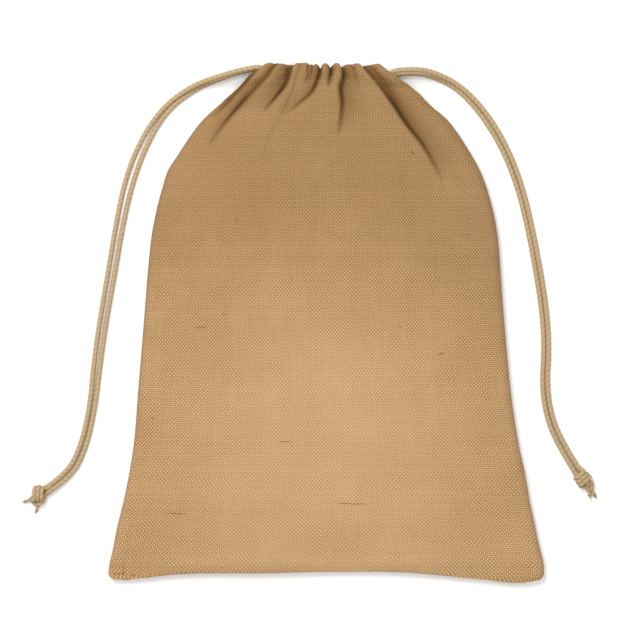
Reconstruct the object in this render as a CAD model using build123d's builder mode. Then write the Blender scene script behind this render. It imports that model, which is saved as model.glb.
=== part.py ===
from build123d import *
import math
import os

# Drawstring gift pouch in jute cloth, lying on its back with the mouth drawn almost shut.
# Origin: on the table, under the middle of the bag. +X across, +Y towards the mouth, +Z up.
# All lengths in millimetres.

# The cloth bag
bag_width = 250.0           # across the two bottom corners
bag_height = 297.6          # from the bottom corners to the top of the casing
cloth = 1.0                 # thickness of the jute cloth
hem_land = 3.0              # flat edge of each panel where the two are sewn together
allowance = 1.2             # thickness of the turned-in seam between the panels
allowance_width = 9.0       # how far the turned-in seam reaches into the bag
seam_height = 5.0           # middle of the side seams above the table
crown_fullness = 2.6        # exponent of the cross-section: 2 is an ellipse-like arc, more is flatter

# The casing round the mouth
half_height = bag_height / 2
casing_foot = 138.6         # where the casing is stitched to the panel
casing_top = half_height
casing_thickness = 5.4
mouth_gap = 5.0             # space left between the two lips
tunnel_low, tunnel_high = 141.0, 147.8
tunnel_height = 3.6
stitch_length, stitch_pitch = 2.6, 4.2
stitch_width, stitch_proud = 0.6, 0.3

# The drawstrings
cord_diameter = 2.8
left_leg_y = 146.1          # line of the left drawstring inside the casing
right_leg_y = 142.7         # line of the right drawstring inside the casing
left_exit_x, right_exit_x = -40.0, 41.0
left_bight_x, right_bight_x = 25.2, -33.0   # centres of the two turns at the far ends
pull_travel = 8.0
side_clearance = 0.4

back_leg_z = casing_thickness / 2
front_leg_z = casing_thickness + mouth_gap + casing_thickness / 2
front_base = seam_height + allowance / 2
back_base = seam_height - allowance / 2

# Routes of the four free cord ends, from the casing to their knots
left_front_route = [
    (-40, 146.1, 13.1), (-46.5, 146.1, 13.1), (-58.5, 143.6, 10), (-76, 136.4, 4.6), (-93, 122.4, 1.6),
    (-106, 102.4, 1.5), (-114.4, 80.4, 1.5), (-120.2, 55.4, 1.5), (-124.6, 29, 1.5), (-129.2, 3, 1.5),
    (-132.6, -23, 1.5), (-135.2, -48, 1.5), (-140.8, -70.4, 1.5), (-149.4, -86.4, 1.6), (-162.8, -95.8, 3.4),
]
left_back_route = [
    (-40, 146.1, 2.7), (-46.5, 146.1, 2.7), (-57.4, 140.6, 1.9), (-74.2, 133.6, 1.5), (-90.6, 120.2, 1.5),
    (-103, 101, 1.5), (-111.2, 79.4, 1.5), (-117, 54.8, 1.5), (-121.4, 28.4, 1.5), (-126, 2.4, 1.5),
    (-129.4, -23.4, 1.5), (-132.1, -48.7, 1.5), (-137.9, -71.8, 1.5), (-147, -88.8, 1.6), (-161.4, -98.8, 3.4),
]
right_front_route = [
    (41, 142.7, 13.1), (48, 142.7, 13.1), (60.4, 143.3, 10), (77.4, 136.6, 4.6), (92, 121.6, 1.6),
    (103.8, 102.2, 1.5), (112.8, 80.2, 1.5), (119, 57, 1.5), (123.3, 32.6, 1.5), (126.7, 9, 1.5),
    (128.4, -14, 1.5), (127.3, -36, 1.5), (130.5, -55, 1.5), (138.4, -71.4, 1.6), (147, -87.4, 3.4),
]
right_back_route = [
    (41, 142.7, 2.7), (48, 142.7, 2.7), (59.6, 139.8, 1.9), (75.4, 133.8, 1.5), (89.4, 119.6, 1.5),
    (100.9, 100.8, 1.5), (109.8, 79.2, 1.5), (115.8, 56.3, 1.5), (120.1, 32.2, 1.5), (123.5, 8.8, 1.5),
    (125.2, -14, 1.5), (124.1, -36.4, 1.5), (127.2, -56.2, 1.5), (134.6, -73, 1.6), (144.6, -89, 3.4),
]

# The two knots, each a rounded barrel, and their tails as (start, end)
knot_radius, knot_half_length = 4.0, 5.2
knot_rounding = 3.0
knot_clear = 0.05
left_knot_centre = (-164.6, -98.4, knot_radius + knot_clear)
right_knot_centre = (147.2, -89.6, knot_radius + knot_clear)
left_tail_lines = [((-166.6, -98.6, 3.4), (-172.4, -101.2, 1.5)), ((-165, -101.4, 3.4), (-165.8, -107.6, 1.5))]
right_tail_lines = [((147.2, -92.2, 3.4), (150.4, -99, 1.5)), ((149.6, -90.2, 3.4), (155.4, -97.4, 1.5))]
tail_diameter = 2.4

# Outline of the bag: the two sides from the bottom corner to the casing, and the bottom edge
left_side_points = [
    (-124.6, -152), (-123.4, -136), (-114.2, -93), (-107, -31), (-101, 40), (-94.5, 76),
    (-79, 105.5), (-61, 125), (-46, casing_foot),
]
right_side_points = [
    (125, -152), (123.3, -133), (114.6, -88), (104.6, -23), (99.3, 40), (92, 77),
    (77.5, 106), (60, 125), (43, casing_foot),
]
bottom_points = [(-135, -148.2), (-122, -148.8), (-92, -145.2), (-38, -143.6), (40, -143.2), (96, -147.6),
                 (114, -148.8), (135, -148.2)]
crown_points = [(-152, 6.6), (-143.6, 8.2), (-122, 14.2), (-70, 18.6), (10, 18), (90, 15.6), (casing_foot, 15.8)]

left_side = Spline(*left_side_points)
right_side = Spline(*right_side_points)
crown_line = Spline(*crown_points)


def level_at(line, height, rising=1):
    """The other coordinate of a curve where its rising coordinate (0 for X, 1 for Y) has this value."""
    low, high = 0.0, 1.0
    for _ in range(30):
        middle = (low + high) / 2
        here = line @ middle
        if (here.X, here.Y)[rising] < height:
            low = middle
        else:
            high = middle
    here = line @ low
    return (here.Y, here.X)[rising]


def under_side(y):
    """Height of the back cloth over the table: flat, then lifting to the bottom seam."""
    lift_start, lift_end = -118.0, -152.0
    along = min(max((y - lift_start) / (lift_end - lift_start), 0.0), 1.0)
    return (back_base - cloth - 0.2) * along**2


def front_outline(y):
    """Crescent outline of the front cloth across the bag at this distance up it."""
    left, right = level_at(left_side, y), level_at(right_side, y)
    crown = level_at(crown_line, y, rising=0) - front_base
    for inset, rise in ((0.0, crown), (hem_land, crown - cloth)):
        middle, half = (left + right) / 2, (right - left) / 2 - inset
        Spline(*[
            (middle + part * half, front_base + rise * (1 - abs(part) ** crown_fullness))
            for part in (-1, -0.75, 0, 0.75, 1)
        ])
    for edge, inward in ((left, 1), (right, -1)):
        Line((edge, front_base), (edge + inward * hem_land, front_base))


def back_outline(y):
    """Flat-bottomed outline of the back cloth, its sides curling up to the seams."""
    left, right = level_at(left_side, y), level_at(right_side, y)
    curl, shoulder = 10.0, 26.0
    for inset, level in ((0.0, under_side(y)), (hem_land, under_side(y) + cloth)):
        for edge, inward in ((left, 1), (right, -1)):
            start = edge + inward * inset
            Bezier((start, back_base), (start + inward * curl, level), (edge + inward * shoulder, level))
        Line((left + shoulder, level), (right - shoulder, level))
    for edge, inward in ((left, 1), (right, -1)):
        Line((edge, back_base), (edge + inward * hem_land, back_base))


def below_bottom(inset):
    """Outline of everything below the bottom edge of the bag, moved up into the bag by the inset."""
    lifted = [(x, y + inset) for x, y in bottom_points]
    Spline(*lifted)
    Polyline(lifted[-1], (135, -170), (-135, -170), lifted[0])


stations = [-152, -144, -134, -120, -95, -60, -20, 20, 55, 80, 98, 113, 126, casing_foot]

# Front and back cloth, open towards the mouth
with BuildPart() as front_panel:
    for station in stations:
        with BuildSketch(Plane.XZ.offset(-station)):
            with BuildLine():
                front_outline(station)
            make_face()
    loft(ruled=True)
    with BuildSketch(Plane.XY.offset(-5)):
        with BuildLine():
            below_bottom(0)
        make_face()
    extrude(amount=40, mode=Mode.SUBTRACT)

with BuildPart() as back_panel:
    for station in stations:
        with BuildSketch(Plane.XZ.offset(-station)):
            with BuildLine():
                back_outline(station)
            make_face()
    loft(ruled=True)
    with BuildSketch(Plane.XY.offset(-5)):
        with BuildLine():
            below_bottom(0)
        make_face()
    extrude(amount=40, mode=Mode.SUBTRACT)

# Turned-in seams, sandwiched between the edges of the two panels
strip_width = allowance_width - 0.4
strip_stations = [-138] + [station for station in stations if station > -135]
with BuildPart() as left_side_seam:
    for station in strip_stations:
        with BuildSketch(Plane.XZ.offset(-station)):
            with Locations((level_at(left_side, station) + 0.4, seam_height)):
                Rectangle(strip_width, allowance, align=(Align.MIN, Align.CENTER))
    loft(ruled=True)

with BuildPart() as right_side_seam:
    for station in strip_stations:
        with BuildSketch(Plane.XZ.offset(-station)):
            with Locations((level_at(right_side, station) - 0.4, seam_height)):
                Rectangle(strip_width, allowance, align=(Align.MAX, Align.CENTER))
    loft(ruled=True)

with BuildPart() as bottom_seam:
    with BuildSketch(Plane.XY.offset(seam_height - allowance / 2)):
        with BuildLine():
            below_bottom(allowance_width)
        make_face()
        with BuildLine():
            below_bottom(0.4)
        make_face(mode=Mode.SUBTRACT)
        with Locations((0, -146)):
            Rectangle(bag_width - 4, 15, mode=Mode.INTERSECT)
    extrude(amount=allowance)

# Casing: each panel's top edge turned over the two cords and stitched down
casing_outline = [(-46, casing_foot), (-34.5, casing_top), (30.5, casing_top), (43, casing_foot)]
tunnel_middle = (tunnel_low + tunnel_high) / 2
tunnel_width = tunnel_high - tunnel_low


def casing_cut(x_edge, outward, leg_y, inner_wall_z):
    """Space in the inner wall of a casing for the far turn of a drawstring to move in."""
    length = 30.0
    with Locations((x_edge + outward * length / 2, leg_y, inner_wall_z)):
        Box(length, cord_diameter + 2 * side_clearance, 4.0, mode=Mode.SUBTRACT)


with BuildPart() as front_casing:
    with BuildSketch(Plane.XY.offset(casing_thickness + mouth_gap)):
        with BuildLine():
            Polyline(*casing_outline, close=True)
        make_face()
    extrude(amount=casing_thickness)
    with Locations((0, tunnel_middle, front_leg_z)):
        Box(120, tunnel_width, tunnel_height, mode=Mode.SUBTRACT)
    casing_cut(left_bight_x + 1.5 - pull_travel, 1, left_leg_y, casing_thickness + mouth_gap)
    casing_cut(right_bight_x - 1.5 + pull_travel, -1, right_leg_y, casing_thickness + mouth_gap)

with BuildPart() as back_casing:
    with BuildSketch(Plane.XY):
        with BuildLine():
            Polyline(*casing_outline, close=True)
        make_face()
    extrude(amount=casing_thickness)
    with Locations((0, tunnel_middle, back_leg_z)):
        Box(120, tunnel_width, tunnel_height, mode=Mode.SUBTRACT)
    casing_cut(left_bight_x + 1.5 - pull_travel, 1, left_leg_y, casing_thickness)
    casing_cut(right_bight_x - 1.5 + pull_travel, -1, right_leg_y, casing_thickness)

# Rows of stitches that close the foot of each casing
stitch_count = 19
stitch_y = casing_foot + 1.2
with BuildPart() as front_casing_stitches:
    with Locations((-1.5, stitch_y, casing_thickness * 2 + mouth_gap + stitch_proud / 2)):
        with GridLocations(stitch_pitch, 1, stitch_count, 1):
            Box(stitch_length, stitch_width, stitch_proud)

with BuildPart() as back_casing_stitches:
    with Locations((-1.5, stitch_y, casing_thickness + stitch_proud / 2)):
        with GridLocations(stitch_pitch, 1, stitch_count, 1):
            Box(stitch_length, stitch_width, stitch_proud)


# Drawstrings: each is one cord, led round the mouth and out again on its own side
def held_cord(exit_x, turn_x, leg_y):
    """Line of the cord inside the casing: out along the front, round the far end, back behind."""
    reach = (front_leg_z - back_leg_z) / 2
    away = 1 if turn_x > exit_x else -1
    Line((exit_x, leg_y, front_leg_z), (turn_x, leg_y, front_leg_z))
    ThreePointArc(
        (turn_x, leg_y, front_leg_z),
        (turn_x + away * reach, leg_y, back_leg_z + reach),
        (turn_x, leg_y, back_leg_z),
    )
    Line((turn_x, leg_y, back_leg_z), (exit_x, leg_y, back_leg_z))


def bend_radii(route):
    """The largest tidy radius for each corner of a route: 0.45 of its shorter run over tan(half turn)."""
    corners = [Vector(*point) for point in route]
    radii = []
    for before, here, after in zip(corners, corners[1:], corners[2:]):
        arriving, leaving = here - before, after - here
        half_turn = math.radians(arriving.get_angle(leaving) / 2)
        radii.append(0.45 * min(arriving.length, leaving.length) / math.tan(half_turn))
    return radii


with BuildPart() as left_cord_in_casing:
    with BuildLine() as held_line:
        held_cord(left_exit_x, left_bight_x, left_leg_y)
    with BuildSketch(Plane(held_line.line @ 0, z_dir=held_line.line % 0)):
        Circle(cord_diameter / 2)
    sweep(path=held_line.line)

with BuildPart() as right_cord_in_casing:
    with BuildLine() as held_line:
        held_cord(right_exit_x, right_bight_x, right_leg_y)
    with BuildSketch(Plane(held_line.line @ 0, z_dir=held_line.line % 0)):
        Circle(cord_diameter / 2)
    sweep(path=held_line.line)

routes = {
    "left_front_strand": left_front_route,
    "left_back_strand": left_back_route,
    "right_front_strand": right_front_route,
    "right_back_strand": right_back_route,
}
strands = {}
for name, route in routes.items():
    with BuildPart() as strand:
        with BuildLine() as strand_line:
            FilletPolyline(*route, radius=bend_radii(route))
        with BuildSketch(Plane(strand_line.line @ 0, z_dir=strand_line.line % 0)):
            Circle(cord_diameter / 2)
        sweep(path=strand_line.line)
    strand.part.label = name
    strands[name] = strand.part
    tube_volume = math.pi * cord_diameter**2 / 4 * strand_line.wire().length
    print(name, "length", round(strand_line.wire().length, 1), "volume ratio", round(strand.part.volume / tube_volume, 4))
    print("  radii", [round(radius) for radius in bend_radii(route)])

# Knots and their frayed tails
tails = {}
for name, lines in {"left_tails": left_tail_lines, "right_tails": right_tail_lines}.items():
    with BuildPart() as tail_pair:
        for start, end in lines:
            with BuildLine() as tail_line:
                Line(start, end)
            with BuildSketch(Plane(tail_line.line @ 0, z_dir=tail_line.line % 0)):
                Circle(tail_diameter / 2)
            sweep(path=tail_line.line)
    tail_pair.part.label = name
    tails[name] = tail_pair.part

knots = {}
for side, centre in {"left": left_knot_centre, "right": right_knot_centre}.items():
    with BuildPart() as knot:
        with BuildSketch(Plane(centre, x_dir=(1, 0, 0), z_dir=(0, 1, 0))):
            Circle(knot_radius)
        extrude(amount=knot_half_length, both=True)
        fillet(knot.edges().filter_by(GeomType.CIRCLE), radius=knot_rounding)
        led_in = [strands[side + "_front_strand"], strands[side + "_back_strand"]]
        add(led_in + tails[side + "_tails"].solids(), mode=Mode.SUBTRACT)
    knot.part.label = side + "_knot"
    knots[side + "_knot"] = knot.part

bag_pieces = {
    "front_panel": front_panel.part,
    "back_panel": back_panel.part,
    "left_side_seam": left_side_seam.part,
    "right_side_seam": right_side_seam.part,
    "bottom_seam": bottom_seam.part,
    "front_casing": front_casing.part,
    "back_casing": back_casing.part,
    "front_casing_stitches": front_casing_stitches.part,
    "back_casing_stitches": back_casing_stitches.part,
    "left_cord_in_casing": left_cord_in_casing.part,
    "right_cord_in_casing": right_cord_in_casing.part,
}

os.makedirs("parts", exist_ok=True)
for name, piece in {**bag_pieces, **strands, **tails, **knots}.items():
    piece.label = name
    export_step(piece, f"parts/{name}.step")
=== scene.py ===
import math

import bpy
import numpy as np
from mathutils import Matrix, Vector


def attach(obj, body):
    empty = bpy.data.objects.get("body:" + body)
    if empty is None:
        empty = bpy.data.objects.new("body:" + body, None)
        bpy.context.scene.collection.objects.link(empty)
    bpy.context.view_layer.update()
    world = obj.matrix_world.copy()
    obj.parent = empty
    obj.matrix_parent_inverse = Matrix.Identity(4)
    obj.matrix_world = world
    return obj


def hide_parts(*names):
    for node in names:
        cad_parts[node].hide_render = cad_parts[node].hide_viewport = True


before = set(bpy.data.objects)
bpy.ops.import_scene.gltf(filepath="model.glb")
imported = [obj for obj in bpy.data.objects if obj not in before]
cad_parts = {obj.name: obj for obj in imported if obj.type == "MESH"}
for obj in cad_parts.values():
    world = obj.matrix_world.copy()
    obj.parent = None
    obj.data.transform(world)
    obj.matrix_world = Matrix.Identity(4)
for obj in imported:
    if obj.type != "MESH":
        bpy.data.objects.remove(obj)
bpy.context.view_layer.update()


# ---------------------------------------------------------------- table and light
# The pouch lies on its back on matt white paper and is seen from straight above. A square soft
# box beyond the left shoulder models the folds, a larger one overhead fills, and the room is pale.
def linear(hex_colour):
    """sRGB hex to linear RGBA."""
    parts = [int(hex_colour[i:i + 2], 16) / 255 for i in (1, 3, 5)]
    return tuple(p / 12.92 if p <= 0.04045 else ((p + 0.055) / 1.055) ** 2.4 for p in parts) + (1.0,)


def add(tree, kind, inputs=None, **settings):
    """Adds a node with its settings, and its inputs as values or as sockets to link."""
    made = tree.nodes.new(kind)
    for name, value in settings.items():
        setattr(made, name, value)
    for name, value in (inputs or {}).items():
        if isinstance(value, bpy.types.NodeSocket):
            tree.links.new(value, made.inputs[name])
        else:
            made.inputs[name].default_value = value
    return made


def new_material(name):
    """A node material with only its Principled shader."""
    material = bpy.data.materials.new(name)
    material.use_nodes = True
    return material, material.node_tree, material.node_tree.nodes["Principled BSDF"]


view_centre = Vector((-0.0034, 0.0018, 0.0))
view_width = 0.3665     # m, across the view at the height of the cloth
cloth_level = 0.008
camera_height = 1.8
camera_data = bpy.data.cameras.new("overhead_camera")
camera_data.sensor_width = 36.0
camera_data.lens = camera_data.sensor_width * (camera_height - cloth_level) / view_width
camera = bpy.data.objects.new("overhead_camera", camera_data)
camera.location = view_centre + Vector((0, 0, camera_height))
bpy.context.collection.objects.link(camera)
bpy.context.scene.camera = camera
bpy.context.scene.view_settings.view_transform = "Standard"

paper_level = -0.0002
paper_half = 3.0
square = ((-1, -1), (1, -1), (1, 1), (-1, 1))
paper_corners = [(x * paper_half, y * paper_half, paper_level) for x, y in square]
paper_mesh = bpy.data.meshes.new("white_paper")
paper_mesh.from_pydata(paper_corners, [], [(0, 1, 2, 3)])
paper = bpy.data.objects.new("white_paper", paper_mesh)
bpy.context.collection.objects.link(paper)
# Uncoated cartridge paper: bright, and matt enough to show no reflection of the soft boxes.
matt_paper, tree, shader = new_material("uncoated_white_paper")
shader.inputs["Base Color"].default_value = linear("#F7F7F7")
shader.inputs["Roughness"].default_value = 0.9
paper_mesh.materials.append(matt_paper)

room = bpy.data.worlds.new("pale_room")
room.use_nodes = True
room_light = room.node_tree.nodes["Background"]
room_light.inputs["Color"].default_value = linear("#FFFFFF")
room_light.inputs["Strength"].default_value = 0.55
bpy.context.scene.world = room


def soft_box(name, place, aim, size, watts):
    """A square studio soft box at a place, facing a point."""
    data = bpy.data.lights.new(name, "AREA")
    data.size = size
    data.energy = watts
    lamp = bpy.data.objects.new(name, data)
    lamp.location = place
    lamp.rotation_mode = "QUATERNION"
    lamp.rotation_quaternion = (Vector(aim) - Vector(place)).to_track_quat("-Z", "Y")
    bpy.context.collection.objects.link(lamp)


soft_box("key_soft_box", (-0.4, 0.6, 1.15), (0, 0, 0), 0.6, 12.0)
soft_box("overhead_soft_box", (0.1, -0.2, 1.6), (0, -0.05, 0), 1.0, 9.0)


# ---------------------------------------------------------------- drawstrings
# Two limp cotton cords, 2.8 mm thick. Each goes once round the mouth inside the casing, and both
# its ends come out on the same side and lie on the table side by side down to one overhand knot.
mm = 0.001
cord_diameter = 2.8 * mm
cord_routes = {
    "left_front_strand": [
        (-40, 146.1, 13.1), (-46.5, 145.2, 13.1), (-58.3, 142.2, 10), (-76.4, 136.7, 4.6),
        (-94.4, 123.8, 1.6), (-107.6, 103.4, 1.5), (-116, 80.8, 1.5), (-121, 55.5, 1.5),
        (-125.3, 29, 1.5), (-129.8, 3, 1.5), (-133.5, -23, 1.5), (-135.7, -48, 1.5),
        (-140.8, -70.6, 1.5), (-149, -86.8, 1.6), (-162.8, -95.8, 3.4)],
    "left_back_strand": [
        (-40, 146.1, 2.7), (-46.5, 145.2, 2.7), (-57.7, 141.5, 1.9), (-75.4, 134.7, 1.5),
        (-92.2, 121.6, 1.5), (-103.6, 101.5, 1.5), (-111.6, 79.5, 1.5), (-117.1, 54.8, 1.5),
        (-121.4, 28.4, 1.5), (-126.1, 2.4, 1.5), (-129.8, -23.4, 1.5), (-132.7, -48.7, 1.5),
        (-137.9, -72, 1.5), (-146.6, -89.2, 1.6), (-161.4, -98.2, 3.4)],
    "right_front_strand": [
        (41, 144.4, 13.1), (48, 145.2, 13.1), (60.2, 144.4, 10), (77, 136.8, 4.6), (91.9, 121.7, 1.6),
        (103.8, 102.2, 1.5), (112.5, 80.1, 1.5), (118.2, 56.8, 1.5), (122.9, 32.5, 1.5),
        (126.7, 9, 1.5), (128.3, -14, 1.5), (126.8, -36, 1.5), (130, -55.2, 1.5), (137.9, -71.8, 1.6),
        (147, -86.6, 3.4)],
    "right_back_strand": [
        (41, 142.7, 2.7), (48, 143.8, 2.7), (60, 142.4, 1.9), (75.8, 134.9, 1.5), (89.4, 119.8, 1.5),
        (101.1, 100.9, 1.5), (109.8, 79.2, 1.5), (115.6, 56.3, 1.5), (120.1, 32.2, 1.5),
        (123.9, 8.9, 1.5), (125.5, -14, 1.5), (124, -36.3, 1.5), (127.2, -56.2, 1.5), (135, -73, 1.6),
        (144.8, -88.6, 3.4)],
}


def line_of(points):
    """The smooth line that a cord takes past these points (mm), as closely spaced points in metres."""
    curve = bpy.data.curves.new("cord_line", "CURVE")
    curve.dimensions = "3D"
    spline = curve.splines.new("NURBS")
    spline.points.add(len(points) - 1)
    for place, point in zip(spline.points, points):
        place.co = (*(c * mm for c in point), 1)
    spline.order_u = 3
    spline.use_endpoint_u = True
    spline.resolution_u = 12
    holder = bpy.data.objects.new("cord_line", curve)
    mesh = bpy.data.meshes.new_from_object(holder)
    line = np.array([v.co for v in mesh.vertices])
    bpy.data.objects.remove(holder)
    bpy.data.curves.remove(curve)
    bpy.data.meshes.remove(mesh)
    return line


def cord_mesh(name, lines, radius, sides=14, taper=None):
    """Round closed tubes along lines. Its cord_mm map is the distance along and round each, in mm."""
    verts, faces, coords = [], [], []
    for line in lines:
        steps = np.gradient(line, axis=0)
        steps /= np.linalg.norm(steps, axis=1)[:, None]
        along = np.r_[0, np.cumsum(np.linalg.norm(np.diff(line, axis=0), axis=1))]
        side = np.cross(steps[0], (0, 0, 1.0))
        if np.linalg.norm(side) < 0.1:
            side = np.cross(steps[0], (1.0, 0, 0))
        start = len(verts)
        for k, (here, step) in enumerate(zip(line, steps)):
            side = side - step * side.dot(step)
            side /= np.linalg.norm(side)
            up = np.cross(side, step)
            thick = radius * (taper(along[k] / along[-1]) if taper else 1)
            for j in range(sides):
                turn = 2 * math.pi * j / sides
                verts.append(here + thick * (math.cos(turn) * side + math.sin(turn) * up))
                coords.append((along[k] / mm, math.cos(turn), math.sin(turn)))
        for k in range(len(line) - 1):
            for j in range(sides):
                a, b = start + k * sides + j, start + k * sides + (j + 1) % sides
                faces.append((a, b, b + sides, a + sides))
        faces.append([start + j for j in reversed(range(sides))])
        faces.append([start + (len(line) - 1) * sides + j for j in range(sides)])
    mesh = bpy.data.meshes.new(name)
    mesh.from_pydata([tuple(v) for v in verts], [], faces)
    mesh.attributes.new("cord_mm", "FLOAT_VECTOR", "POINT").data.foreach_set("vector", np.ravel(coords))
    for polygon in mesh.polygons:
        polygon.use_smooth = True
    made = bpy.data.objects.new(name, mesh)
    bpy.context.collection.objects.link(made)
    return made


# Soft-laid undyed cotton cord of three twisted plies: matt and pale tan, with fine spiral grooves
# every 1.5 mm and short loose fibres that blur them.
plies, lay_length = 3, 4.5      # lay_length is one turn of a ply, mm of cord
cotton_cord, tree, shader = new_material("twisted_cotton_cord")
place = add(tree, "ShaderNodeAttribute", attribute_name="cord_mm").outputs["Vector"]
parts = add(tree, "ShaderNodeSeparateXYZ", {0: place})
turn = add(tree, "ShaderNodeMath", {0: parts.outputs["Z"], 1: parts.outputs["Y"]}, operation="ARCTAN2")
spiral = add(tree, "ShaderNodeMath", {0: turn.outputs[0], 1: plies / (2 * math.pi)}, operation="MULTIPLY")
spiral = add(tree, "ShaderNodeMath", {0: parts.outputs["X"], 1: plies / lay_length, 2: spiral.outputs[0]},
             operation="MULTIPLY_ADD")
ply = add(tree, "ShaderNodeMath", {0: spiral.outputs[0], 1: 1.0}, operation="PINGPONG").outputs[0]
fibre_place = add(tree, "ShaderNodeVectorMath", {0: place, 1: (0.6, 1.6, 1.6)}, operation="MULTIPLY")
fibres = add(tree, "ShaderNodeTexNoise", {"Vector": fibre_place.outputs[0], "Scale": 1.6, "Detail": 4.0})
height = add(tree, "ShaderNodeMath", {0: fibres.outputs[0], 1: 0.5, 2: ply},
             operation="MULTIPLY_ADD").outputs[0]
# Painted shade: the colour is darker down the spiral grooves between the plies; the fibre noise gives the
# cord's own uneven tone.
shade = add(tree, "ShaderNodeMapRange", {"Value": height, "From Min": 0.2, "From Max": 1.0}).outputs[0]
colour = add(tree, "ShaderNodeMix", {0: shade, 6: linear("#A28963"), 7: linear("#B39B75")},
             data_type="RGBA")
tree.links.new(colour.outputs[2], shader.inputs["Base Color"])
shader.inputs["Roughness"].default_value = 0.88
bump = add(tree, "ShaderNodeBump", {"Height": height, "Distance": 0.00015, "Strength": 0.5})
tree.links.new(bump.outputs["Normal"], shader.inputs["Normal"])

for name, route in cord_routes.items():
    cord_side = name.split("_")[0]
    line = line_of(route)
    strand = cord_mesh(name.replace("strand", "cord_end"), [line], cord_diameter / 2)
    strand.data.materials.append(cotton_cord)
    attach(strand, cord_side + "_drawstring")
    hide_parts(name)


# ---------------------------------------------------------------- front cloth
# One piece of plain-woven natural jute, 250 mm wide and 318 mm long, with its top edge turned over
# the drawstrings and stitched down inside. The drawn cords crowd it into soft gathers at the mouth.
cloth_thickness = 0.9   # mm
flat_width, flat_length = 250, 318
seam_height = 5.0       # mm, the side and bottom seams above the table
edge_gap = 0.3          # mm, from the seams up to the edge of the front and down to that of the back
lip_y = 145.7           # mm, where the cloth starts to turn over
lip_radius = 2.9        # mm, how far the turned-over edge stands out past that
hem_stitch_y = 137.8
hem_end_y = 136.4


def smooth_curve(points):
    """A smooth function through (position, value) points: cubic between them, level past the ends."""
    at, value = (np.array(c, float) for c in zip(*sorted(points)))
    slope = np.gradient(value, at)

    def curve(x):
        x = np.clip(x, at[0], at[-1])
        k = np.clip(np.searchsorted(at, x) - 1, 0, len(at) - 2)
        gap = at[k + 1] - at[k]
        t = (x - at[k]) / gap
        return ((2 * t**3 - 3 * t**2 + 1) * value[k] + (t**3 - 2 * t**2 + t) * gap * slope[k]
                + (3 * t**2 - 2 * t**3) * value[k + 1] + (t**3 - t**2) * gap * slope[k + 1])
    return curve


def ease(x):
    """0 below 0, 1 above 1, smooth between."""
    x = np.clip(x, 0, 1)
    return x * x * (3 - 2 * x)


def round_over(distance, radius):
    """Quarter-round rise, from 0 at an edge to 1 at this distance in."""
    return np.sqrt(1 - (1 - np.clip(distance / radius, 0, 1)) ** 2)


# Outline of the bag as it lies, mm: the sides as (up the bag, across), the bottom as (across, up).
left_side = smooth_curve([
    (-147, -122), (-146, -123.6), (-144.4, -124.6), (-141, -124.5), (-130, -122.2), (-117, -119.7),
    (-104, -116.5), (-90, -113.5), (-72.6, -110.6), (-38, -107.6), (-4, -104.8), (36, -101.5),
    (50, -100), (64.5, -97.2), (79, -93.4), (88, -90.4), (96.7, -84.7), (107, -78), (116.4, -70.7),
    (123, -63.6), (130.3, -54.7), (136, -48.4), (141.2, -42.9), (145.2, -37.8), (148.6, -34)])
right_side = smooth_curve([
    (-147, 122.6), (-146, 124), (-144.4, 124.8), (-141, 125), (-135, 124.2), (-129, 122.6),
    (-120.5, 120.8), (-110.6, 118.7), (-100.7, 116.6), (-89.8, 114.8), (-72.6, 111.1), (-44, 106.5),
    (-15.3, 103.6), (19, 100.8), (36.2, 99.6), (50.7, 98.3), (63.1, 96.1), (74, 93.2), (86.5, 88.8),
    (99.6, 81.5), (109.8, 74.9), (117.1, 69.1), (125.2, 59.5), (131.8, 52.4), (137, 45.6),
    (141.7, 38.8), (145.2, 34), (148.6, 30.4)])
bottom_edge = smooth_curve([
    (-124, -146.9), (-110, -146.6), (-100, -145.7), (-92, -144.6), (-79, -143.8), (-38, -143.5),
    (8, -142.6), (43, -142.9), (61, -144.2), (78, -146), (96, -147.7), (103, -148.7), (113, -148.8),
    (124, -147)])

# Gathers of the front: the line of each valley from the mouth down, how deep it is there, and how
# far its left and right flanks reach at the mouth and at its lower end. All mm.
front_gathers = [
    ([(-35.8, 149), (-42.6, 141), (-52.4, 130.5), (-65, 117)], 5.5, (6, 0.8), (7, 2)),
    ([(-29, 149), (-32.8, 142.5), (-43.6, 131), (-55.8, 117), (-68, 100)], 5.8, (1.2, 1.0), (9, 4)),
    ([(-20.8, 149), (-21, 142.5), (-23.8, 135.2), (-28.6, 129), (-36, 120)], 7.5, (2.6, 0.8), (17, 2)),
    ([(-10.9, 149), (-9.8, 141.5), (-12.6, 135)], 2.2, (1.0, 1.0), (3, 3)),
    ([(-3.2, 149), (-3.6, 143), (-5.2, 137.6), (-9.4, 130.4), (-15.6, 125), (-24, 118)], 5.6,
     (1.0, 0.9), (12, 4)),
    ([(-14, 149), (-22, 125), (-33, 104), (-36, 84)], 1.1, (3, 3), (9, 9)),
    ([(-7.6, 149), (-8.2, 143), (-10, 136)], 2.2, (0.9, 1.0), (2, 3)),
    ([(3.3, 149), (3.1, 145), (2.4, 140), (1.6, 134)], 6.0, (1.5, 1.5), (4, 4)),
    ([(9.2, 149), (10.3, 141.5), (8.6, 134.6), (9.4, 127), (7.6, 106)], 6.4, (0.8, 2.6), (2.0, 17)),
    ([(15.6, 149), (16.4, 143), (19, 133)], 2.0, (2.0, 2.0), (4, 4)),
    ([(20.6, 149), (24.9, 143), (30.8, 136.2), (37.9, 126.4), (47.4, 112.4), (54.8, 103), (68, 80)], 9.0,
     (0.7, 2.6), (1.6, 15)),
    ([(25.6, 149), (29.2, 143.5), (34, 137), (38.6, 130)], 2.4, (1.2, 1.2), (1.4, 3)),
]


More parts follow.
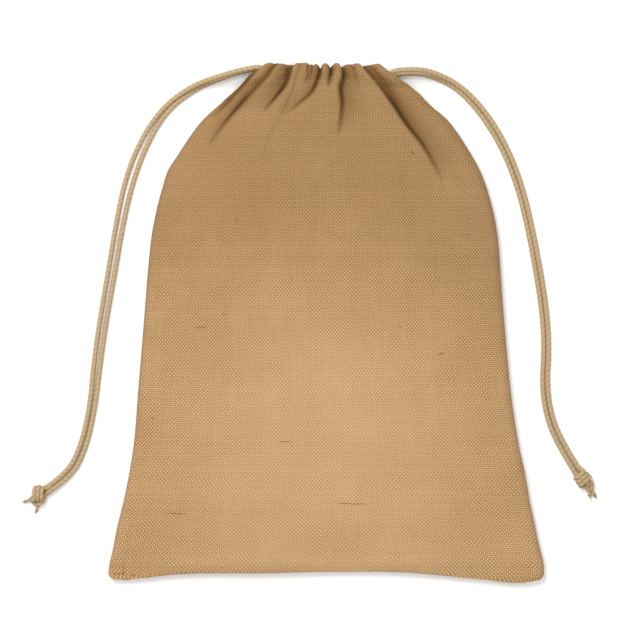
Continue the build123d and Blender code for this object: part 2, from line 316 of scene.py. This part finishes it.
def gather_depth(x, y, gathers):
    """How far the gathers press the cloth in, and how much they crowd it, at each point."""
    pressed, crowded = np.zeros_like(x), np.zeros_like(x)
    for line, depth, near, far in gathers:
        top, end = line[0][1], line[-1][1]
        centre = smooth_curve([(py, px) for px, py in line])(y)
        down = np.clip((top - y) / (top - end), 0, 1)
        here = depth * (1 - down) ** 0.8
        left_reach = near[0] + (far[0] - near[0]) * down
        right_reach = near[1] + (far[1] - near[1]) * down
        reach = np.where(x < centre, left_reach, right_reach)
        away = np.abs(x - centre)
        pressed += here * np.exp(-(away / reach) ** 1.15)
        # The bottom of the valley is a narrow groove, which lasts longer than the valley does.
        pressed += 0.4 * depth * (1 - down) ** 0.45 * np.exp(-(away / (0.6 + 0.3 * down)) ** 2)
        crowded += depth * (1 - down) ** 1.8 * np.exp(-(away / (0.8 + 1.5 * down)) ** 2)
    return pressed, crowded


def unevenness(x, y, seed):
    """Slow swells of hand-laid cloth, mm."""
    chance = np.random.RandomState(seed)
    total = np.zeros_like(x)
    for wave, height in ((110, 0.8), (64, 0.5), (40, 0.3), (25, 0.16)):
        for _ in range(5):
            heading, phase = chance.uniform(0, math.pi), chance.uniform(0, 2 * math.pi)
            along = x * math.cos(heading) + y * math.sin(heading)
            total += height / 2.2 * np.sin(along * 2 * math.pi / wave + phase)
    return total


def sheet_mesh(name, x, y, z, across, along, creased):
    """A grid of points (mm) as a smooth sheet. Its cloth_mm map is the distance across and along it,
    and how deep each point lies in a gather."""
    rows, columns = x.shape
    points = np.stack([x, y, z], axis=-1).reshape(-1, 3) * mm
    number = np.arange(rows * columns).reshape(rows, columns)
    quads = np.stack([number[:-1, :-1], number[:-1, 1:], number[1:, 1:], number[1:, :-1]], axis=-1)
    mesh = bpy.data.meshes.new(name)
    mesh.from_pydata(points.tolist(), [], quads.reshape(-1, 4).tolist())
    deep = np.vstack([creased, np.repeat(creased[-1:], rows - len(creased), axis=0)])
    cloth_map = mesh.attributes.new("cloth_mm", "FLOAT_VECTOR", "POINT")
    cloth_map.data.foreach_set("vector", np.stack([across, along, deep], axis=-1).ravel())
    for polygon in mesh.polygons:
        polygon.use_smooth = True
    made = bpy.data.objects.new(name, mesh)
    bpy.context.collection.objects.link(made)
    return made


# The rows of the sheets lie closest along the bottom seam and in the gathers.
columns = 224
lowest_row, even_from, gathers_from = -147, -137, 96
row_levels = np.r_[
    lowest_row + (even_from - lowest_row) * np.linspace(0, 1, 14, endpoint=False) ** 1.6,
    np.linspace(even_from, gathers_from, 92, endpoint=False),
    np.linspace(gathers_from, lip_y, 64)]
bottom_bow = 70         # mm, how far up the rows still follow the bow of the bottom edge
spread = np.linspace(-1, 1, columns)[None, :]
level = row_levels[:, None] + np.zeros_like(spread)
front_crown = smooth_curve([
    (-147, 9), (-140, 11), (-130, 12.8), (-118, 14), (-100, 15.4), (-70, 17), (-20, 17.6), (30, 17.2),
    (70, 16.2), (100, 15.6), (120, 16.4), (134, 17.6), (142, 18.6), (149, 18.8)])


def panel_outline(level, spread):
    """Points of a panel in plan, and their distances from the side and bottom edges, mm."""
    left, right = left_side(level), right_side(level)
    x = (left + right) / 2 + spread * (right - left) / 2
    bowed = np.clip(1 - (level - lowest_row) / bottom_bow, 0, 1) ** 2
    y = level + (bottom_edge(x) - lowest_row) * bowed
    return x, y, np.minimum(x - left, right - x), np.maximum(y - bottom_edge(x), 0)


most_shown = 1.12       # mm of cloth that shows in each mm across, between the gathers
share_everywhere = 0.06


def cloth_distance(x, crowded):
    """Distance across the flat cloth: the crowded cloth in the gathers hides most of its width."""
    width = x[:, -1:] - x[:, :1]
    step = np.diff(x, axis=1)
    shown = np.minimum(flat_width / width, most_shown)
    weight = ((crowded[:, 1:] + crowded[:, :-1]) / 2 + share_everywhere) * step
    hidden = weight / weight.sum(axis=1, keepdims=True) * (flat_width - shown * width)
    run = np.cumsum(shown * step + hidden, axis=1)
    run = np.concatenate([np.zeros_like(width), run], axis=1)
    return run - run[:, columns // 2][:, None]


lip_rows, hem_rows = 13, 11
closing_length = 3.4    # mm above the stitches, over which the two layers come together
layer_gap = 0.25        # mm, between the two layers where they are sewn
end_shortening = 0.42   # share of the width by which the under layer stops short of the ends
steepest = 3            # flanks steeper than this count as this steep


def turned_edge(x, y, z, across, inner_level, fullness):
    """Adds a panel's top edge, turned over the cords: round the lip, then down inside to the hem."""
    top_x, top_y, top_z, top_across = x[-1], y[-1], z[-1], across[-1]
    half = (top_z - inner_level) / 2
    bend = np.abs(half)
    middle = (top_x[0] + top_x[-1]) / 2
    rows_x, rows_y, rows_z, rows_along = [], [], [], []
    travelled = np.full_like(top_x, lip_y)
    for angle in np.linspace(0, math.pi, lip_rows + 1)[1:]:
        out = lip_y + lip_radius * math.sin(angle)
        narrow = (right_side(out) - left_side(out)) / (top_x[-1] - top_x[0])
        # The under layer stops short of the ends, where the cords turn from the front to the back.
        narrow -= end_shortening * ease((angle - 1.7) / 1.4)
        rows_x.append(middle + (top_x - middle) * narrow)
        rows_y.append(top_y + fullness * (bend / bend.max()) ** 0.7 * math.sin(angle))
        rows_z.append(inner_level + half + half * math.cos(angle))
        travelled = travelled + bend * math.pi / lip_rows
        rows_along.append(travelled)
    under_x = rows_x[-1]
    for step in np.linspace(0, 1, hem_rows + 1)[1:]:
        k = int(np.argmin(np.abs(row_levels - lip_y - (hem_end_y - lip_y) * step)))
        closing = ease((hem_stitch_y + closing_length - row_levels[k]) / closing_length)
        steep = np.minimum(np.sqrt(1 + np.gradient(z[k], x[k]) ** 2), steepest)
        meets = z[k] - np.sign(half) * (cloth_thickness * 2 + layer_gap) * steep
        rows_x.append(under_x)
        rows_y.append(np.interp(under_x, x[k], y[k]))
        rows_z.append(inner_level * (1 - closing) + np.interp(under_x, x[k], meets) * closing)
        travelled = travelled + (lip_y - hem_end_y) / hem_rows
        rows_along.append(travelled)
    extra = len(rows_x)
    return (np.vstack([x] + rows_x), np.vstack([y] + rows_y), np.vstack([z] + rows_z),
            np.vstack([across] + [top_across] * extra), np.vstack([y] + rows_along))


x, y, from_side, from_bottom = panel_outline(level, spread)
pressed, crowded = gather_depth(x, y, front_gathers)
# The edge of the front rises near the mouth to make room for the cords to come out under it.
cords_room = 9.9        # mm
edge_radius = 6.5
mouth_rise = ease((y - 133) / 7)
edge_level = seam_height + edge_gap + mouth_rise * cords_room
rim = round_over(from_side, edge_radius) * round_over(from_bottom, edge_radius)
# The belly is crowned from side to side, on top of a flat part that the rounded rim leads up to.
flat_part = 0.42
dome = (1 - np.abs(spread) ** 2.2) * ease(from_bottom / 50 + 0.1)
z = edge_level + (front_crown(y) - edge_level) * rim * (flat_part + (1 - flat_part) * dome)
# The seams draw the cloth into small puckers, whose spacing wanders.
side_pucker, bottom_pucker = 8.5, 9.5   # mm, from one to the next
puckers = 0.25 * np.exp(-from_side / 9) * np.sin(y * 2 * math.pi / side_pucker + 2 * np.sin(y / 13))
bottom_wave = np.sin(x * 2 * math.pi / bottom_pucker + 2 * np.sin(x / 15))
puckers += 0.2 * np.exp(-from_bottom / 8) * bottom_wave
calm = 1 - 0.6 * mouth_rise
z += (puckers + unevenness(x, y, 4) * calm) * rim
z -= pressed * round_over(from_side, 3.5)
# The valleys reach down to the cords and no further. The cords lie higher where they come out.
cord_level, exit_lift = 12.2, 3.2       # mm, the cloth on top of the cords
cord_top = cord_level * ease((y - 112) / 26)
cord_top += exit_lift * ease((np.abs(x) - 22) / 14) * ease((y - 134) / 8)
z = cord_top + np.logaddexp(0, (z - cord_top) * 2) / 2
across = cloth_distance(x, crowded)
# The lip dips toward the bag where the cloth is pressed in, as far as the cord inside lets it.
room = 2.1 - 1.9 * ease((-19 - x[-1]) / 10)
lip_dip = np.minimum(0.45 * np.maximum(pressed[-1] - 1.2, 0), room)
lip_dip = np.convolve(lip_dip, np.hanning(10) / np.hanning(10).sum(), mode="same")[None, :]
y = y - lip_dip * ease((y - 139) / 6.7)
# The hem inside waves up and down with the gathers, and the lip is fullest at the left end.
wave_pitch = 9.5        # mm
inner_level = 7.2 + 0.7 * np.sin(x[-1] * 2 * math.pi / wave_pitch + 1)
fullness = 3.1 + 0.6 * ease((-28 - x[-1]) / 8)
front_grid = turned_edge(x, y, z, across, inner_level, fullness)
front_cloth = sheet_mesh("front_cloth", *front_grid, pressed)


def give_thickness(sheet, thickness, offset):
    """Makes a sheet this thick (mm): offset -1 keeps its face where it is, 0 its middle."""
    layer = sheet.modifiers.new("cloth_thickness", "SOLIDIFY")
    layer.thickness = thickness * mm
    layer.offset = offset


# Natural jute hessian, about 23 threads to the inch each way, unbleached and uncoated: matt golden
# brown, with round uneven threads and darker gaps, which are painted shade. The thread spacing is 1.12
# mm.
thread_pitch = 1.12


def jute_hessian(name, pale, thread, gap):
    """Plain-woven jute in the colours of its palest and darkest threads and of the gaps; the palest also
    paints light and the gap colour paints shade.
    """
    material, tree, shader = new_material(name)
    mapped = add(tree, "ShaderNodeAttribute", attribute_name="cloth_mm").outputs["Vector"]
    place = add(tree, "ShaderNodeVectorMath", {0: mapped, 1: (1, 1, 0)}, operation="MULTIPLY").outputs[0]
    mapped = add(tree, "ShaderNodeSeparateXYZ", {0: mapped})
    # The threads wander by up to half their width, as loosely woven ones do.
    wander = add(tree, "ShaderNodeTexNoise", {"Vector": place, "Scale": 0.12, "Detail": 2.0})
    wander = add(tree, "ShaderNodeVectorMath", {0: wander.outputs["Color"], 1: (0.5, 0.5, 0.5)},
                 operation="SUBTRACT")
    wandered = add(tree, "ShaderNodeVectorMath", {0: wander.outputs[0], 1: (1.6, 1.6, 0), 2: place},
                   operation="MULTIPLY_ADD")
    count = add(tree, "ShaderNodeVectorMath", {0: wandered.outputs[0], "Scale": 1 / thread_pitch},
                operation="SCALE").outputs[0]
    number = add(tree, "ShaderNodeVectorMath", {0: count}, operation="FLOOR").outputs[0]
    within = add(tree, "ShaderNodeVectorMath", {0: count}, operation="FRACTION").outputs[0]
    # Each thread is round: 1 along its middle, 0 at its edges.
    centred = add(tree, "ShaderNodeVectorMath", {0: within, 1: (2, 2, 0), 2: (-1, -1, 0)},
                  operation="MULTIPLY_ADD").outputs[0]
    squared = add(tree, "ShaderNodeVectorMath", {0: centred, 1: centred}, operation="MULTIPLY").outputs[0]
    crowns = add(tree, "ShaderNodeVectorMath", {0: (1, 1, 0), 1: squared}, operation="SUBTRACT")
    crown = add(tree, "ShaderNodeSeparateXYZ", {0: crowns.outputs[0]}).outputs
    # Over one, under one: the lengthwise thread is on top where the two thread numbers add to an
    # odd sum.
    total = add(tree, "ShaderNodeVectorMath", {0: number, 1: (1, 1, 0)}, operation="DOT_PRODUCT")
    lengthwise = add(tree, "ShaderNodeMath", {0: total.outputs["Value"], 1: 2.0},
                     operation="FLOORED_MODULO").outputs[0]
    over = add(tree, "ShaderNodeMix", {0: lengthwise, 2: crown["Y"], 3: crown["X"]}).outputs[0]
    under = add(tree, "ShaderNodeMix", {0: lengthwise, 2: crown["X"], 3: crown["Y"]}).outputs[0]
    over = add(tree, "ShaderNodeMath", {0: over, 1: 0.6}, operation="POWER").outputs[0]
    hump = add(tree, "ShaderNodeMath", {0: under, 1: 0.45, 2: 0.55}, operation="MULTIPLY_ADD").outputs[0]
    height = add(tree, "ShaderNodeMath", {0: over, 1: hump}, operation="MULTIPLY").outputs[0]
    # Every thread has its own tone, which also changes along it as the yarn swells and thins.
    top_mask = add(tree, "ShaderNodeMix", {0: lengthwise, 4: (0, 1, 0), 5: (1, 0, 0.4)},
                   data_type="VECTOR").outputs[1]
    own_number = add(tree, "ShaderNodeVectorMath", {0: number, 1: top_mask, 2: top_mask},
                     operation="MULTIPLY_ADD").outputs[0]
    tone = add(tree, "ShaderNodeTexWhiteNoise", {"Vector": own_number}).outputs["Value"]
    stretch = add(tree, "ShaderNodeMix", {0: lengthwise, 4: (0.07, 1.0, 1), 5: (1.0, 0.07, 1)},
                  data_type="VECTOR").outputs[1]
    stretched = add(tree, "ShaderNodeVectorMath", {0: place, 1: stretch}, operation="MULTIPLY").outputs[0]
    swell = add(tree, "ShaderNodeTexNoise", {"Vector": stretched, "Scale": 1.0, "Detail": 3.0}).outputs[0]
    fibres = add(tree, "ShaderNodeTexNoise", {"Vector": place, "Scale": 2.6, "Detail": 3.0}).outputs[0]
    patches = add(tree, "ShaderNodeTexNoise", {"Vector": place, "Scale": 0.02, "Detail": 2.0}).outputs[0]
    # The lengthwise threads catch the light, so that the crossings show as a fine chequer.
    chequer = add(tree, "ShaderNodeMath", {0: lengthwise, 1: 0.3, 2: -0.17}, operation="MULTIPLY_ADD")
    # The cloth was pulled askew, one way on each half, so the pale floats join into slanting lines
    # that lean toward its middle. They come and go with the tension.
    tension = add(tree, "ShaderNodeTexNoise", {"Vector": place, "Scale": 0.05, "Detail": 1.0}).outputs[0]
    half = add(tree, "ShaderNodeMath", {0: tension, 1: 260.0, 2: mapped.outputs["X"]},
               operation="MULTIPLY_ADD").outputs[0]
    half = add(tree, "ShaderNodeMath", {0: half, 1: 130.0}, operation="SUBTRACT").outputs[0]
    half = add(tree, "ShaderNodeMath", {0: half}, operation="SIGN").outputs[0]
    lean = add(tree, "ShaderNodeCombineXYZ", {"X": half, "Y": 1.0}).outputs[0]
    lines = add(tree, "ShaderNodeVectorMath", {0: count, 1: lean}, operation="DOT_PRODUCT")
    lines = add(tree, "ShaderNodeMath", {0: lines.outputs["Value"], 1: math.pi},
                operation="MULTIPLY").outputs[0]
    lines = add(tree, "ShaderNodeMath", {0: lines}, operation="COSINE").outputs[0]
    lines = add(tree, "ShaderNodeMath", {0: lines, 1: half}, operation="MULTIPLY").outputs[0]
    tension = add(tree, "ShaderNodeTexNoise", {"Vector": place, "Scale": 0.09, "Detail": 2.0}).outputs[0]
    tension = add(tree, "ShaderNodeMapRange", {"Value": tension, "From Min": 0.35, "From Max": 0.65,
                  "To Max": 0.55}).outputs[0]
    mixed = add(tree, "ShaderNodeMath", {0: lines, 1: tension, 2: chequer.outputs[0]},
                operation="MULTIPLY_ADD").outputs[0]
    for part, weight in ((swell, 0.5), (tone, 0.16), (fibres, 0.5), (patches, 0.5)):
        mixed = add(tree, "ShaderNodeMath", {0: part, 1: weight, 2: mixed},
                    operation="MULTIPLY_ADD").outputs[0]
    shade = add(tree, "ShaderNodeMapRange", {"Value": mixed, "From Min": 0.22, "From Max": 1.27})
    yarn = add(tree, "ShaderNodeMix", {0: shade.outputs[0], 6: linear(thread), 7: linear(pale)},
               data_type="RGBA")
    # Painted shade: the gaps between the threads and the sides of each round thread, where it turns down
    # and dives under, take the gap colour.
    covered = add(tree, "ShaderNodeMapRange", {"Value": height, "From Min": 0.2, "From Max": 0.75})
    colour = add(tree, "ShaderNodeMix", {0: covered.outputs[0], 6: linear(gap), 7: yarn.outputs[2]},
                 data_type="RGBA")
    # Painted shade: toward the mouth, and more in the creases of the gathers, the colour is mixed toward
    # the gap colour.
    shade_toward_mouth = add(tree, "ShaderNodeMapRange", {"Value": mapped.outputs["Y"], "From Min": -50.0,
                       "From Max": 90.0, "To Max": 0.36}, interpolation_type="SMOOTHSTEP").outputs[0]
    crease = add(tree, "ShaderNodeMapRange", {"Value": mapped.outputs["Z"], "From Min": 0.6,
                 "From Max": 5.0, "To Max": 0.6}).outputs[0]
    painted_shade = add(tree, "ShaderNodeMath", {0: shade_toward_mouth, 1: crease}, operation="ADD").outputs[0]
    colour = add(tree, "ShaderNodeMix", {0: painted_shade, 6: colour.outputs[2], 7: linear(gap)},
                 data_type="RGBA")
    # Painted light: a paler oval, 100 mm below the middle of the bag and 270 by 370 mm, mixed toward the
    # palest thread colour.
    from_middle = add(tree, "ShaderNodeVectorMath", {0: place, 1: (1 / 135, 1 / 185, 0),
                      2: (0, 100 / 185, 0)}, operation="MULTIPLY_ADD").outputs[0]
    from_middle = add(tree, "ShaderNodeVectorMath", {0: from_middle}, operation="LENGTH").outputs["Value"]
    painted_light = add(tree, "ShaderNodeMapRange", {"Value": from_middle, "From Min": 0.2, "From Max": 0.95,
                   "To Min": 0.28, "To Max": 0.0}, interpolation_type="SMOOTHSTEP").outputs[0]
    colour = add(tree, "ShaderNodeMix", {0: painted_light, 6: colour.outputs[2], 7: linear(pale)},
                 data_type="RGBA").outputs[2]
    tree.links.new(colour, shader.inputs["Base Color"])
    shader.inputs["Roughness"].default_value = 0.92
    shader.inputs["Specular IOR Level"].default_value = 0.25
    raised = add(tree, "ShaderNodeMath", {0: fibres, 1: 0.35, 2: height}, operation="MULTIPLY_ADD")
    bump = add(tree, "ShaderNodeBump", {"Height": raised.outputs[0], "Distance": 0.0003, "Strength": 0.7})
    tree.links.new(bump.outputs["Normal"], shader.inputs["Normal"])
    return material


hessian = jute_hessian("jute_hessian", "#D6B083", "#9C7545", "#6E4E24")
front_cloth.data.materials.append(hessian)
give_thickness(front_cloth, cloth_thickness, -1)
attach(front_cloth, "pouch")
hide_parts("front_panel", "front_casing")


# ---------------------------------------------------------------- back cloth
# The same jute cloth and the same turned-over edge as the front. It lies flat on the table and
# curls up at its sides and bottom to the seams.
back_gathers = [
    ([(-31, 149), (-40, 132), (-54, 112)], 1.6, (2, 2), (4, 5)),
    ([(-22, 149), (-27, 132), (-38, 108)], 2.4, (2, 2), (5, 5)),
    ([(-12, 149), (-15, 130), (-20, 104)], 2.0, (2, 2), (5, 5)),
    ([(-3, 149), (-3, 130), (-6, 110)], 2.4, (2, 2), (5, 5)),
    ([(7, 149), (9, 130), (14, 102)], 2.2, (2, 2), (5, 5)),
    ([(16, 149), (20, 130), (30, 106)], 2.4, (2, 2), (5, 5)),
    ([(26, 149), (34, 132), (48, 112)], 1.8, (2, 2), (4, 5)),
]
back_rest = 0.45        # mm, where the back cloth lies over the table
curl_radius = 9
x, y, from_side, from_bottom = panel_outline(level, spread)
pressed, crowded = gather_depth(x, y, back_gathers)
pressed = pressed * (1 - 0.85 * ease((y - 132) / 6)) * round_over(from_side, 4)
curl = 1 - round_over(from_side, curl_radius) * round_over(from_bottom, curl_radius)
# Near the mouth, where the side seams end, the sides lie almost flat again.
curl = curl * (1 - 0.85 * ease((y - 131) / 8))
z = back_rest + (seam_height - edge_gap - back_rest) * curl + pressed
across = cloth_distance(x, crowded)
# The lip of the back lies a little inside that of the front.
y = y - (0.4 * lip_dip + 1.2) * ease((y - 138) / 7.7)
inner_level = 5.3 + 0.25 * np.sin(x[-1] * 2 * math.pi / wave_pitch + 1)
fullness = 1.9 + 1.4 * ease((-24 - x[-1]) / 9)
back_grid = turned_edge(x, y, z, across, inner_level, fullness)
back_cloth = sheet_mesh("back_cloth", *(part[:, ::-1] for part in back_grid), pressed[:, ::-1])
back_cloth.data.materials.append(hessian)
give_thickness(back_cloth, cloth_thickness, -1)
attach(back_cloth, "pouch")
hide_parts("back_panel", "back_casing")


# ---------------------------------------------------------------- seams
# Front and back are sewn together along the sides and the bottom with their edges turned in, and
# the two raw edges are overlocked together. All of it lies inside the bag.
allowance_width = 9.0       # mm, the turned-in edges
allowance_thickness = 1.2   # mm, two layers pressed flat
loop_out, loop_in = 2.3, 0.3  # mm, how far the overlock loops reach over the raw edge and past it
thread_radius = 0.22


def fibrous(name, dark, pale, fibre_scale, roughness):
    """A matt fibrous material in two close tones that change along and round a thread."""
    material, tree, shader = new_material(name)
    place = add(tree, "ShaderNodeAttribute", attribute_name="cord_mm").outputs["Vector"]
    fibres = add(tree, "ShaderNodeTexNoise", {"Vector": place, "Scale": fibre_scale}).outputs[0]
    colour = add(tree, "ShaderNodeMix", {0: fibres, 6: linear(dark), 7: linear(pale)}, data_type="RGBA")
    tree.links.new(colour.outputs[2], shader.inputs["Base Color"])
    shader.inputs["Roughness"].default_value = roughness
    return material


# Spun polyester thread dyed to the jute, matt, with fibres too fine to show.
sewing_thread = fibrous("spun_polyester_thread", "#8F6C42", "#A98457", 1.5, 0.7)

up = np.linspace(-144, 131, 190)
over = np.linspace(-112, 112, 150)
seam_lines = {
    "left_side_seam": (np.stack([left_side(up), up], 1), (1, 0)),
    "right_side_seam": (np.stack([right_side(up), up], 1), (-1, 0)),
    "bottom_seam": (np.stack([over, bottom_edge(over)], 1), (0, 1)),
}
seam_pieces = []
for name, (edge, inward) in seam_lines.items():
    reach = np.linspace(1.8, allowance_width, 6)[None, :]
    x = edge[:, :1] + inward[0] * reach
    y = edge[:, 1:] + inward[1] * reach
    z = seam_height + 0.25 * np.sin(np.arange(len(edge)) / 9)[:, None] * (reach / allowance_width)
    if name != "left_side_seam":
        x, y, z = x[:, ::-1], y[:, ::-1], z[:, ::-1]
    strip = sheet_mesh(name.replace("seam", "turned_in_edges"), x, y, z, x, y, np.zeros_like(x))
    strip.data.materials.append(hessian)
    give_thickness(strip, allowance_thickness, 0)
    crossings = len(edge) - 1
    from_edge = np.where(np.arange(crossings) % 2, allowance_width - loop_out, allowance_width + loop_in)
    zigzag = edge[:crossings] + np.array(inward) * from_edge[:, None]
    zigzag = np.column_stack([zigzag, np.full(crossings, seam_height + allowance_thickness / 2)])
    thread_name = name.replace("seam", "overlock_thread")
    thread = cord_mesh(thread_name, [zigzag * mm], thread_radius * mm, sides=6)
    thread.data.materials.append(sewing_thread)
    for piece in (strip, thread):
        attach(piece, "pouch")
    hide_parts(name)
    seam_pieces += [strip, thread]


# ---------------------------------------------------------------- casing stitches
# One row of lockstitch holds the turned-over edge of each panel down, 10 mm below the lip. Each
# stitch is 2.6 mm of thread lying on the outside of the cloth, with its ends sunk into it.
stitch_y = hem_stitch_y + 0.4
stitch_pitch = 4.2 * 0.98   # mm, drawn in a little by the tight thread
stitch_length = 2.6
end_depth = 0.3
stitched_panels = {"front_casing_stitches": (front_grid, 1), "back_casing_stitches": (back_grid, -1)}
for name, (grid, outward) in stitched_panels.items():
    row = int(np.argmin(np.abs(grid[1][:len(row_levels), columns // 2] - stitch_y)))
    line_x, line_z = grid[0][row], grid[2][row]
    lines = []
    for k in range(-9, 10):
        along = np.linspace(-0.5, 0.5, 7)
        at = k * stitch_pitch + along * stitch_length
        sunk = 0.02 + end_depth * np.abs(along * 2) ** 3
        height = np.interp(at, line_x, line_z) - outward * sunk
        lines.append(np.stack([at, np.full_like(at, stitch_y), height], 1) * mm)
    thread = cord_mesh(name.replace("stitches", "lockstitch"), lines, 0.25 * mm, sides=8)
    thread.data.materials.append(sewing_thread)
    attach(thread, "pouch")
    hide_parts(name)


# ---------------------------------------------------------------- coarse jute fibres
# Slubs and slivers of bark that were spun into the yarn: short brown fibres lying in the face of
# the cloth, here and there.
# Each: one end and the other as (across, up) and its radius, mm.
slivers = [
    ((48.4, 98.4), (50.2, 96.4), 0.34), ((-51.2, 60.6), (-50.8, 57.6), 0.26),
    ((77, 50.4), (82, 50.7), 0.22), ((-59.4, 5.4), (-57.4, 5.2), 0.22),
    ((-75.6, -2.4), (-67.6, -2.1), 0.26), ((41, -2.2), (44, -2.2), 0.24),
    ((63.6, -17.8), (68.1, -17.3), 0.26), ((-100, -54.2), (-97.4, -54.5), 0.22),
    ((-27.5, -67.6), (-18.3, -67.3), 0.2), ((5.2, -102.8), (23.5, -103.2), 0.3),
    ((-93, -108.6), (-79, -108.8), 0.2), ((-60.6, -139.4), (-58.6, -139.8), 0.26),
    ((-23.2, 145.2), (-22.7, 143.6), 0.4),
]
outer_x, outer_y, outer_z = (part[:len(row_levels)] for part in front_grid[:3])
chance = np.random.RandomState(7)
lines = []
for (x0, y0), (x1, y1), radius in slivers:
    count = max(5, int(math.hypot(x1 - x0, y1 - y0)))
    places = np.linspace((x0, y0), (x1, y1), count)
    places[1:] += chance.normal(0, 0.14, (count - 1, 2))
    heights = [outer_z.flat[np.argmin((outer_x - px) ** 2 + (outer_y - py) ** 2)] for px, py in places]
    lines.append((np.column_stack([places, heights]) * mm, radius))
# Flecks of the plant's own bark: dark brown, dry and matt.
jute_bark = fibrous("jute_bark", "#5F4020", "#8E6A3C", 0.8, 0.9)


def pointed(part):
    """Thickness of a sliver along its length: 1 in the middle, a quarter or so at both ends."""
    return 0.25 + 0.75 * math.sin(math.pi * min(max(part, 0.02), 0.98))


for number, (line, radius) in enumerate(lines):
    fleck = cord_mesh("jute_sliver_%d" % (number + 1), [line], radius * mm, sides=8, taper=pointed)
    fleck.data.materials.append(jute_bark)
    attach(fleck, "pouch")


# ---------------------------------------------------------------- cords inside the casing
# Inside the casing each drawstring runs along the front, turns at the far end and comes back along
# the back, so that pulling its two ends closes the mouth.
casing_routes = {
    "left_cord_in_casing": [
        (-40, 146.1, 13.1), (-37, 146.1, 12.9), (-29, 144.3, 10.2), (-20, 142.6, 9.4), (0, 142.6, 9.4),
        (18, 142.6, 9.4), (26, 142.6, 9.4), (31.2, 142.6, 9.4), (31.2, 142.6, 2.7), (26, 142.6, 2.7),
        (18, 142.6, 2.7), (0, 142.6, 2.7), (-18, 142.6, 2.7), (-28, 144.3, 2.7), (-36, 146.1, 2.7),
        (-40, 146.1, 2.7)],
    "right_cord_in_casing": [
        (41, 144.4, 13.1), (38, 143.7, 12.8), (34, 141.2, 11.4), (30, 140.1, 10.2), (20, 139.7, 9.4),
        (0, 139.7, 9.4), (-20, 139.7, 9.4), (-33, 139.7, 9.4), (-39, 139.7, 9.4), (-39, 139.7, 2.7),
        (-33, 139.7, 2.7), (-20, 139.7, 2.7), (0, 139.7, 2.7), (20, 139.7, 2.7), (32, 140.1, 2.7),
        (37, 142.6, 2.7), (41, 142.7, 2.7)],
}
for name, route in casing_routes.items():
    hidden_name = name.replace("_in_casing", "_round_the_mouth")
    hidden = cord_mesh(hidden_name, [line_of(route)], cord_diameter / 2)
    hidden.data.materials.append(cotton_cord)
    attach(hidden, name.split("_")[0] + "_drawstring")
    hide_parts(name)


# ---------------------------------------------------------------- knots and tails
# The two ends of each drawstring are tied together in one overhand knot, pulled tight so that the
# cord is squeezed thinner in it, and cut off short. The cut ends have frayed.
knot_routes = {
    "left_knot": [
        [(-158.6, -94.2, 3.0), (-161.2, -95.0, 4.6), (-162.9, -94.2, 7.0), (-163.1, -101.2, 7.0),
         (-163.6, -101.2, 1.2), (-164.2, -94.1, 1.2), (-165.0, -94.0, 7.4), (-165.3, -101.4, 7.4),
         (-165.8, -101.4, 1.2), (-166.4, -94.4, 1.2), (-167.1, -94.4, 6.8), (-167.4, -101.0, 6.8),
         (-168.6, -102.2, 2.4), (-167.0, -103.9, 2.0), (-164.4, -103.8, 3.6), (-162.4, -102.4, 3.4),
         (-161.4, -100.2, 2.0), (-163.4, -98.4, 2.6)],
        [(-157.8, -96.4, 2.2), (-160.6, -98.2, 2.6), (-162.2, -99.6, 3.6), (-166.0, -98.0, 4.2),
         (-168.2, -99.8, 2.6), (-169.6, -101.4, 1.8)],
    ],
    "right_knot": [
        [(143.0, -80.4, 2.4), (145.4, -83.4, 4.8), (148.5, -85.0, 6.8), (143.2, -89.1, 6.8),
         (143.3, -89.4, 1.2), (149.5, -86.3, 1.2), (150.0, -86.6, 7.2), (144.4, -91.0, 7.2),
         (144.8, -91.6, 1.2), (151.0, -87.9, 1.2), (151.5, -88.4, 6.8), (145.7, -92.6, 6.8),
         (146.4, -94.0, 2.0), (149.8, -93.6, 2.2), (150.6, -95.6, 2.2)],
        [(140.8, -82.6, 2.0), (142.6, -85.4, 2.6), (145.4, -87.6, 4.2), (149.0, -90.9, 4.2),
         (151.7, -91.0, 3.6), (153.2, -92.6, 2.4), (152.4, -94.8, 2.2)],
    ],
}
tail_routes = {
    "left_tails": [
        [(-168.4, -100.4, 2.4), (-170.2, -101.6, 1.6), (-171.8, -102.2, 1.4)],
        [(-164.6, -103.4, 1.8), (-165.6, -105.6, 1.4), (-166.2, -107.0, 1.3)],
    ],
    "right_tails": [
        [(150.2, -95.2, 2.2), (151.2, -97.2, 1.6), (151.9, -98.6, 1.4)],
        [(152.0, -94.2, 2.0), (153.4, -96.8, 1.6), (154.5, -98.8, 1.4)],
    ],
}
squeezed_radius, end_radius, fibre_radius = 1.2 * mm, 1.15 * mm, 0.14 * mm
lowest_fibre = 0.2 * mm
fibres_each = 16
knot_pieces = {"left": [], "right": []}
for name, routes in knot_routes.items():
    cord_side = name.split("_")[0]
    turns = [line_of(route) for route in routes]
    tied = cord_mesh(name.replace("knot", "overhand_knot"), turns, squeezed_radius)
    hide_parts(name)
    lines, fray_lines = [], []
    for route in tail_routes[cord_side + "_tails"]:
        line = line_of(route)
        lines.append(line)
        step = line[-1] - line[-3]
        step /= np.linalg.norm(step)
        for _ in range(fibres_each):
            lean = step + chance.normal(0, 0.28, 3) * (1, 1, 0.35)
            start = line[-3] + chance.normal(0, 0.5, 3) * (1, 1, 0.6) * mm
            reach = lean * chance.uniform(1.0, 2.4) * mm + (0, 0, -0.2 * mm)
            points = start + reach * np.array((0, 0.5, 1))[:, None]
            points[:, 2] = np.maximum(points[:, 2], lowest_fibre)
            fray_lines.append(points)
    tails = cord_mesh(cord_side + "_cut_ends", lines, end_radius, taper=lambda part: 1 - 0.35 * part)
    fray = cord_mesh(cord_side + "_frayed_fibres", fray_lines, fibre_radius, sides=5)
    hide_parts(cord_side + "_tails")
    for piece in (tied, tails, fray):
        piece.data.materials.append(cotton_cord)
        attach(piece, cord_side + "_drawstring")
        knot_pieces[cord_side].append(piece)
